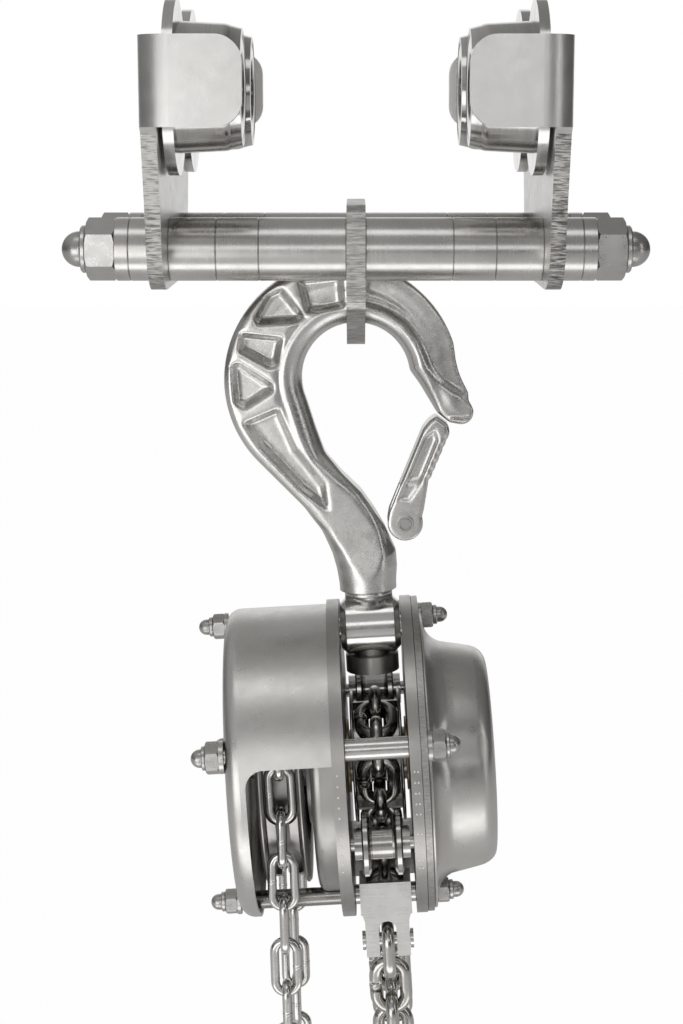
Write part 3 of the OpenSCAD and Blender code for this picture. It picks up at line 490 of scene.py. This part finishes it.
def latch_mesh():
    """The latch's casting, from its outline, with a serrated edge and two cheeks at the pin."""
    line = [(14.2, -199), (35.4, -153.6), (39, -149.4), (43, -146.9), (49.6, -152.3),
            (50.2, -156)]
    # serrated outer edge
    high, low_end = Vector((50.0, -157.5)), Vector((37.4, -183.5))
    for i in range(6):
        a = high.lerp(low_end, i / 6)
        b = high.lerp(low_end, (i + 0.55) / 6)
        line += [tuple(a), tuple(b), tuple(b + Vector((-1.5, 0.5)))]
    upper = [(20.7, -185)] + line[1:] + [(36.4, -186)]
    low = [(36.4, -186), (33.6, -199)] + arc(*LATCH_HOLE, 10, 20, -190, 20)
    line += low
    bm = bmesh.new()
    prism(bm, upper, -LATCH_HALF, LATCH_HALF)
    # two cheeks, with room for the springs and the hook's lug between them
    cheek = [(14.2, -199), (23, -180.2), (37.5, -180.2)] + low
    prism(bm, cheek, -LATCH_HALF, -CHEEK_IN)
    prism(bm, cheek, CHEEK_IN, LATCH_HALF)
    ob, co = voxel_object(bm, "latch", 0.8)
    x, y, z = co[:, 0], co[:, 1], co[:, 2]
    d, inside, nx, nz = edge_distance(x, z, line)
    d = np.where(inside, d, 0)
    cheeks = smoothstep((-180 - z) / 6)
    new_d, h = rounded(d, y, 2.4 - 1.1 * cheeks, LATCH_HALF)
    x += nx * (new_d - d)
    z += nz * (new_d - d)
    # long shallow hollow in each face, shallower on the cheeks
    hollow = [(19, -193), (36, -158), (42, -154), (44, -160), (32, -186), (26, -194)]
    sunk = (2.2 - 1.4 * cheeks) * smoothstep((depth_inside(x, z, hollow) + 0.5) / 2.5)
    y[:] = np.sign(y) * np.minimum(h, LATCH_HALF - sunk)
    moved(ob, co)
    remesh(ob, 0.7, 2)
    return taken(ob)


# ---- the load chain on its sheave: flat and standing links by turns round an octagon
PITCH, WIRE = 21, 7.1
FLAT_SPAN, STAND_SPAN = 28.1, 13.9  # between the joints of a flat and of a standing link
STEP = 45
PHASE = 18.4


def chain_circle(a, b, step):
    """Radius of the circle through the joints of links of spans a and b, step degrees apart."""
    both = math.sqrt(a * a + b * b + 2 * a * b * math.cos(rad(step)))
    return both / (2 * math.sin(rad(step)))


SHEAVE_R = chain_circle(FLAT_SPAN, STAND_SPAN, STEP)
HALF_FLAT = math.degrees(math.asin(FLAT_SPAN / 2 / SHEAVE_R))
HALF_STAND = math.degrees(math.asin(STAND_SPAN / 2 / SHEAVE_R))
STRAIGHT = 8 * PITCH
LOAD_Y = SHEAVE_R * math.cos(rad(PHASE - HALF_FLAT))
LOAD_TOP = SHEAVE_R * math.sin(rad(PHASE - HALF_FLAT))
LINK_END = LOAD_TOP - STAND_SPAN - FLAT_SPAN / 2 - STRAIGHT
BLOCK_BOTTOM = LINK_END + 3.7 - 64
LOW = (HOIST @ Matrix.Translation((0, LOAD_Y, BLOCK_BOTTOM - 249 * LOW_SCALE - 0.3))
       @ Matrix.Rotation(math.pi, 4, "Y") @ Matrix.Scale(LOW_SCALE, 4))

# ---- both hooks and latches, in place of the part's
hook_me = forged_hook()
latch_me = latch_mesh()
for name, me, where, body, node in (
        ("hook_forging_top", hook_me, HUNG, "top_hook_body", "top_hook"),
        ("hook_forging_low", hook_me, LOW, "bottom_hook_body", "bottom_hook"),
        ("latch_top_cast", latch_me, HUNG, "top_latch_body", "top_latch"),
        ("latch_low_cast", latch_me, LOW, "bottom_latch_body", "bottom_latch")):
    me = me.copy()
    place(me, where)
    ob = link_object(name, me, M["hook"])
    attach(ob, body)
    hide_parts(node)


# ---- pressed gear cover, turned from its profile, with recesses for the nuts
STAY_ANGLES = (73.5, 160.5, 250, 350)
COVER_X0, COVER_X1, COVER_DROP = 27.25, 64.5, 4
NUT_ROOM = 9.4


def pressed_cover():
    """The gear cover's outside: flange, soft step, dome and flat end."""
    x0, x1 = COVER_X0, COVER_X1
    stays = [(STAY_R * math.cos(rad(a)), STAY_R * math.sin(rad(a))) for a in STAY_ANGLES]
    prof = [(70, x0), (84, x0), (84.4, x0 + 0.5), (84.4, x0 + 1.5), (83.8, x0 + 2)]
    prof += arc(82, x0 + 18, 16, 268, 200, 22)
    prof += [(66.0, 44.5), (64.9, 50)]
    prof += arc(52.8, x1 - 11, 11, 12, 90, 18)
    prof += [(46, x1), (36, x1), (24, x1), (12, x1), (4, x1)]
    seg = 220
    bm = bmesh.new()
    rows = []
    for r, x in prof:
        row = []
        for i in range(seg):
            t = 2 * math.pi * i / seg
            y, z = r * math.cos(t), r * math.sin(t) - COVER_DROP
            xx = x
            if x > x0 + 1.9:
                # a soft recess round each nut
                for sy, sz in stays:
                    s = min(1, max(0, (math.hypot(y - sy, z - sz) - NUT_ROOM) / 13))
                    s = 1 - (1 - s) ** 3
                    xx = min(xx, x0 + 2 + (x - x0 - 2) * s)
            row.append(bm.verts.new((xx, y, z)))
        rows.append(row)
    for a, b in zip(rows, rows[1:]):
        for i in range(seg):
            j = (i + 1) % seg
            bm.faces.new((a[i], a[j], b[j], b[i]))
    bm.faces.new(rows[-1])
    bmesh.ops.recalc_face_normals(bm, faces=bm.faces)
    me = finished(bm, "gear_cover_pressed")
    place(me, HOIST)
    ob = link_object("gear_cover_pressed", me, M["satin"])
    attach(ob, "hoist_body")
    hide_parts("gear_cover")


pressed_cover()


# ---- chain links with their weld beads
ROUND = 18  # points round the wire
BEND = 14   # steps round each end of a link
# across the weld, halfway along one leg, for the load chain's wire
WELD = [-1.9, -1.35, -1.15, -0.95, -0.5, 0.5, 0.95, 1.15, 1.35, 1.9]


def link_mesh(pitch, wire, width):
    """A link of round wire, with a weld collar between two fine grooves."""
    w = (width - wire) / 2
    s = pitch + 0.15 + wire - 2 * w
    path = []
    for i in range(BEND + 1):
        t = math.pi * i / BEND
        path.append((w * math.cos(t), s / 2 + w * math.sin(t), t))
    leg = [0.5 * s * j for j in (0.66, 0.33)] + [-u * wire / WIRE for u in WELD]
    leg += [-0.5 * s * j for j in (0.33, 0.66)]
    for k in leg:
        path.append((-w, k, math.pi))
    for i in range(BEND + 1):
        t = math.pi + math.pi * i / BEND
        path.append((w * math.cos(t), -s / 2 + w * math.sin(t), t))
    for k in range(1, 6):
        path.append((w, -s / 2 + s * k / 6, 2 * math.pi))
    bm = bmesh.new()
    rings = []
    for x, z, t in path:
        u = abs(z) * WIRE / wire
        bead = 0
        if t == math.pi and u < 1.95:
            bead = 0.05 if u < 1 else -0.035 if u < 1.3 else 0
        r = wire / 2 * (1 + bead)
        ca, sa = math.cos(t), math.sin(t)
        ring = []
        for k in range(ROUND):
            q = 2 * math.pi * k / ROUND
            out = r * math.cos(q)
            ring.append(bm.verts.new((x + out * ca, r * math.sin(q), z + out * sa)))
        rings.append(ring)
    m = len(rings)
    for i in range(m):
        a, b = rings[i], rings[(i + 1) % m]
        for k in range(ROUND):
            j = (k + 1) % ROUND
            bm.faces.new((a[k], b[k], b[j], a[j]))
    bmesh.ops.recalc_face_normals(bm, faces=bm.faces)
    return finished(bm, "link")


def link_matrix(p, d, standing, flip):
    """A link at p in Y and Z, turned d degrees; every second one has its weld on the other leg."""
    m = Matrix.Translation((0, p[0], p[1])) @ Matrix.Rotation(rad(d), 4, "X")
    if standing:
        m = m @ Matrix.Rotation(rad(90 + 180 * flip), 4, "Z")
    elif flip:
        m = m @ Matrix.Rotation(math.pi, 4, "Z")
    return m


def chain(name, links, link_me, base, node, body, mat):
    """One piece of all the links, riding the body in place of the part's node."""
    bm = bmesh.new()
    for k, (p, d, standing, extra) in enumerate(links):
        me = link_me.copy()
        me.transform(SCALE @ base @ extra @ link_matrix(p, d, standing, k % 2))
        bm.from_mesh(me)
        bpy.data.meshes.remove(me)
    ob = link_object(name, finished(bm, name), mat)
    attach(ob, body)
    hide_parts(node)


ONE = Matrix.Identity(4)
ANCHOR = (-32.5, -105.8)  # middle of the link on the anchor pin, in Y and Z
HAND_BACK = 1.8           # degrees that the hand chain falls out of the wheel's plane
HAND_FALL = 200
HAND_X = -54


def on_circle(r, degrees):
    return r * math.cos(rad(degrees)), r * math.sin(rad(degrees))


def lean(a, b):
    """Degrees that a link turns to run from a to b."""
    return math.degrees(math.atan2(a[0] - b[0], b[1] - a[1])) + 180


def load_links():
    """The load chain: over the sheave, down to the block, and a slack loop to its anchor."""
    rf, rs = SHEAVE_R * math.cos(rad(HALF_FLAT)), SHEAVE_R * math.cos(rad(HALF_STAND))
    out = []
    for i in range(3):
        t = PHASE + 2 * STEP * i
        out.append((on_circle(rf, t), t, False, ONE))
        t += STEP
        out.append((on_circle(rs, t), t, True, ONE))
    pair = 2 * PITCH
    for i in range(5):
        out.append(((LOAD_Y, LOAD_TOP - STAND_SPAN / 2 - pair * i), 0, True, ONE))
        out.append(((LOAD_Y, LOAD_TOP - STAND_SPAN - FLAT_SPAN / 2 - pair * i), 0, False, ONE))
    sy, sz = on_circle(SHEAVE_R, PHASE + 5 * STEP + HALF_STAND)
    for i in range(5):
        out.append(((sy, sz - FLAT_SPAN / 2 - pair * i), 0, False, ONE))
    for i in range(4):
        out.append(((sy, sz - FLAT_SPAN - STAND_SPAN / 2 - pair * i), 0, True, ONE))
    ay, az = ANCHOR
    for i in range(3):
        out.append(((ay, az - pair * i), 0, True, ONE))
        out.append(((ay, az - PITCH - pair * i), 0, False, ONE))
    # three links across the foot of the loop
    ps = Vector((sy, sz - FLAT_SPAN - STRAIGHT))
    pa = Vector((ay, az - STAND_SPAN / 2 - 2 * pair - FLAT_SPAN))
    along = (pa - ps).normalized()
    down = Vector((along[1], -along[0])) * (-1 if along[0] < 0 else 1)
    over = ((pa - ps).length - FLAT_SPAN) / 2
    deep = math.sqrt(STAND_SPAN ** 2 - over * over)
    qs = ps + along * over + down * deep
    qa = pa - along * over + down * deep
    out.append(((ps + qs) / 2, lean(ps, qs), True, ONE))
    v = qs - qa
    out.append(((qs + qa) / 2, math.degrees(math.atan2(-v[0], v[1])), False, ONE))
    out.append(((pa + qa) / 2, lean(pa, qa), True, ONE))
    return out


def hand_links():
    """The hand chain: half round the wheel, two straight falls, and half round its lower end."""
    a, b = 30, 20  # between the joints of a flat and of a standing link
    step = 22.5
    r = chain_circle(a, b, step)
    rf = math.sqrt(r * r - a * a / 4)
    rs = math.sqrt(r * r - b * b / 4)
    back = Matrix.Rotation(rad(HAND_BACK), 4, "Y")
    low = back @ Matrix.Translation((0, 0, -HAND_FALL))
    out = []
    for i in range(5):
        t = 2 * step * i
        y, z = on_circle(rf, t)
        out += [((y, z), t, False, ONE), ((y, -z), -t, False, low)]
    for i in range(4):
        t = step + 2 * step * i
        y, z = on_circle(rs, t)
        out += [((y, z), t, True, ONE), ((y, -z), -t, True, low)]
    for s in (-1, 1):
        for i in range(4):
            out.append(((s * rf, -25 - 50 * i), 0, True, back))
        for i in range(1, 4):
            out.append(((s * rf, -50 * i), 0, False, back))
    return out


chain("load_chain_links", load_links(), link_mesh(PITCH, WIRE, 24.2), HOIST,
      "load_chain", "hoist_body", M["chain"])
chain("hand_chain_links", hand_links(), link_mesh(25, 5, 17.4),
      HOIST @ Matrix.Translation((HAND_X, 0, 0)), "hand_chain", "hoist_body", M["hand"])

# ---- small marks
RING_STEPS = 40


def pin_gap_shade_rings():
    """Painted shade: a dark ring round each latch pin's head, where the gap lies in shadow."""
    for name, where, body in (("top_pin_gap_shade_rings", HUNG, "top_hook_body"),
                              ("low_pin_gap_shade_rings", LOW, "bottom_hook_body")):
        bm = bmesh.new()
        for side in (-1, 1):
            ring = []
            for i in range(RING_STEPS):
                y, z = on_circle(1, 360 * i / RING_STEPS)
                row = []
                for r, out in ((2.7, 11.1), (2.7, 11.26), (3.5, 11.26), (3.5, 11.1)):
                    row.append(bm.verts.new((LATCH_HOLE[0] + r * y, side * out,
                                             LATCH_HOLE[1] + r * z)))
                ring.append(row)
            for i in range(RING_STEPS):
                a, b = ring[i], ring[(i + 1) % RING_STEPS]
                for k in range(4):
                    bm.faces.new((a[k], a[(k + 1) % 4], b[(k + 1) % 4], b[k]))
        bmesh.ops.recalc_face_normals(bm, faces=bm.faces[:])
        me = finished(bm, name)
        place(me, where)
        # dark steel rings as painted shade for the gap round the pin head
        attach(link_object(name, me, M["dark"]), body)


pin_gap_shade_rings()


def punch_marks():
    """Rows of plain dots on the front edges of the frame plates, with two places left out."""
    bm = bmesh.new()
    for k in range(11):
        if k == 5:
            continue
        t = 169.2 + 3.7 * k
        for x in (-21.8, 19.6, 21.5):
            if k == 8 and x > 21:
                continue
            m = (Matrix.Translation((x, *on_circle(FRAME_R, t))) @ Matrix.Rotation(rad(t), 4, "X")
                 @ Matrix.Diagonal((0.62, 0.2, 0.62, 1)))
            bmesh.ops.create_uvsphere(bm, u_segments=10, v_segments=6, radius=1, matrix=m)
    me = finished(bm, "punch_marks")
    place(me, HOIST)
    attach(link_object("punch_marks", me, M["bright"]), "hoist_body")


punch_marks()

# ---- light and stage
world = bpy.data.worlds.new("studio")
scene.world = world
world.use_nodes = True
wn = world.node_tree
wn.nodes.clear()
out = wn.nodes.new("ShaderNodeOutputWorld")
mix = wn.nodes.new("ShaderNodeMixShader")
white = wn.nodes.new("ShaderNodeBackground")
white.inputs["Color"].default_value = (1, 1, 1, 1)
room = wn.nodes.new("ShaderNodeBackground")
tc = wn.nodes.new("ShaderNodeTexCoord")
sep = wn.nodes.new("ShaderNodeSeparateXYZ")
wn.links.new(tc.outputs["Generated"], sep.inputs[0])
# a white backdrop behind the object; the room is dim, a little lighter in front and above
x, y, z = (sep.outputs[k] for k in "XYZ")


def lobe(direction, lo, hi, a, b):
    """lo to hi as the cosine of the angle to a direction goes from a to b."""
    v = wn.nodes.new("ShaderNodeVectorMath")
    v.operation = "DOT_PRODUCT"
    v.inputs[1].default_value = Vector(direction).normalized()
    wn.links.new(tc.outputs["Generated"], v.inputs[0])
    return ramp(wn, v.outputs["Value"], lo, hi, a, b)


back = ramp(wn, y, 0, 1, 0.84, 0.94)
level = math_node(wn, "ADD", lobe((-0.3, -1, 0.1), 0, 0.12, 0.7, 0.97),
                  ramp(wn, z, 0.1, 0.42, -0.1, 0.6))
level = math_node(wn, "MULTIPLY", level, ramp(wn, x, 1, 0.45, -0.1, 0.3))
level = math_node(wn, "MAXIMUM", level, back)
rgb = wn.nodes.new("ShaderNodeCombineColor")
for i in range(3):
    wn.links.new(level, rgb.inputs[i])
wn.links.new(rgb.outputs[0], room.inputs["Color"])
room.inputs["Strength"].default_value = 1.0
lp = wn.nodes.new("ShaderNodeLightPath")
seen = math_node(wn, "MAXIMUM", lp.outputs["Is Glossy Ray"], lp.outputs["Is Transmission Ray"])
seen = math_node(wn, "MAXIMUM", lp.outputs["Is Camera Ray"], math_node(wn, "MULTIPLY", seen, back))
wn.links.new(seen, mix.inputs["Fac"])
wn.links.new(room.outputs[0], mix.inputs[1])
wn.links.new(white.outputs[0], mix.inputs[2])
wn.links.new(mix.outputs[0], out.inputs[0])


def area(name, loc, target, w, h, power):
    """A lamp of w by h metres that the camera can't see."""
    d = bpy.data.lights.new(name, "AREA")
    d.shape = "RECTANGLE"
    d.size = w
    d.size_y = h
    d.energy = power
    o = bpy.data.objects.new(name, d)
    o.location = loc
    o.rotation_euler = (Vector(target) - Vector(loc)).to_track_quat("-Z", "Y").to_euler()
    o.visible_camera = False
    scene.collection.objects.link(o)


area("front_panel", (-0.73, -1.3, -0.4), (0, 0, -0.4), 1.2, 0.82, 5.2)
area("front_panel_upper", (0.12, -1.3, 0.15), (0.05, 0, 0.05), 1.1, 0.28, 1.15)
area("card_below", (0.0, -0.42, -0.8), (0, -0.42, 0), 1.0, 0.34, 1.5)
area("strip_right", (1.3, -0.8, 0.1), (0, 0, -0.3), 0.2, 1.2, 1.4)
area("top", (-0.1, -0.6, 1.3), (0, 0, -0.2), 1.4, 0.5, 2.4)

FLOOR_Z = -0.84
FLOOR_SEEN, FLOOR_MIRRORED = 0.985, 0.25  # share of plain white seen by the camera, in the metal
bpy.ops.mesh.primitive_plane_add(size=14, location=(0, 2, FLOOR_Z))
floor = bpy.context.object
floor.name = "floor"
fm, nt, sh = new_mat("floor_white")
sh.inputs["Roughness"].default_value = 0.9
sh.inputs["Base Color"].default_value = (0.86, 0.86, 0.86, 1)
em = nt.nodes.new("ShaderNodeEmission")
em.inputs["Color"].default_value = (1, 1, 1, 1)
mx = nt.nodes.new("ShaderNodeMixShader")
lp = nt.nodes.new("ShaderNodeLightPath")
seen = math_node(nt, "MAXIMUM",
                 math_node(nt, "MULTIPLY", lp.outputs["Is Camera Ray"], FLOOR_SEEN),
                 math_node(nt, "MULTIPLY", lp.outputs["Is Glossy Ray"], FLOOR_MIRRORED))
nt.links.new(seen, mx.inputs[0])
nt.links.new(sh.outputs[0], mx.inputs[1])
nt.links.new(em.outputs[0], mx.inputs[2])
# seen from below the floor lets the view through
clear = nt.nodes.new("ShaderNodeMixShader")
side = nt.nodes.new("ShaderNodeNewGeometry")
nt.links.new(side.outputs["Backfacing"], clear.inputs[0])
nt.links.new(mx.outputs[0], clear.inputs[1])
nt.links.new(nt.nodes.new("ShaderNodeBsdfTransparent").outputs[0], clear.inputs[2])
o = [n for n in nt.nodes if n.type == "OUTPUT_MATERIAL"][0]
nt.links.new(clear.outputs[0], o.inputs[0])
floor.data.materials.append(fm)
